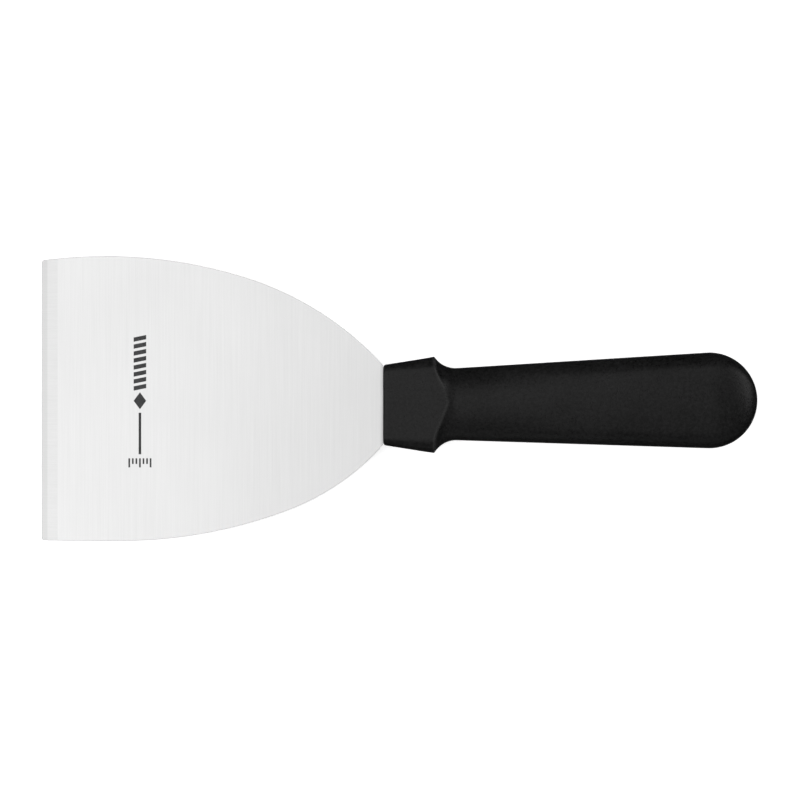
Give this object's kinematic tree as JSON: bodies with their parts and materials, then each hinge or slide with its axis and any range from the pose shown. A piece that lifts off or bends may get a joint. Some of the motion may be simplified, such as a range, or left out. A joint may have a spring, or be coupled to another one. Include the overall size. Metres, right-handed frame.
{
  "type": "ink knife",
  "caption": "Broad flat steel ink knife with a double-bevelled straight edge, curved flanks and a moulded oval plastic handle with a flared guard.",
  "frame": {"origin": "under the middle of the overall length and of the blade's width, level with the lowest point of the handle", "axes": "+X along the knife from the working edge to the butt of the handle, +Y across the blade, +Z square to the blade"},
  "size_m": [0.2515, 0.1, 0.018],
  "materials": {
    "blade_steel": "satin ground stainless steel with very fine grinding lines across the blade",
    "handle_plastic": "black moulded plastic with a fine spark-eroded grain"
  },
  "bodies": {
    "root": {"blade": "blade_steel", "handle": "handle_plastic"}
  },
  "joints": []
}
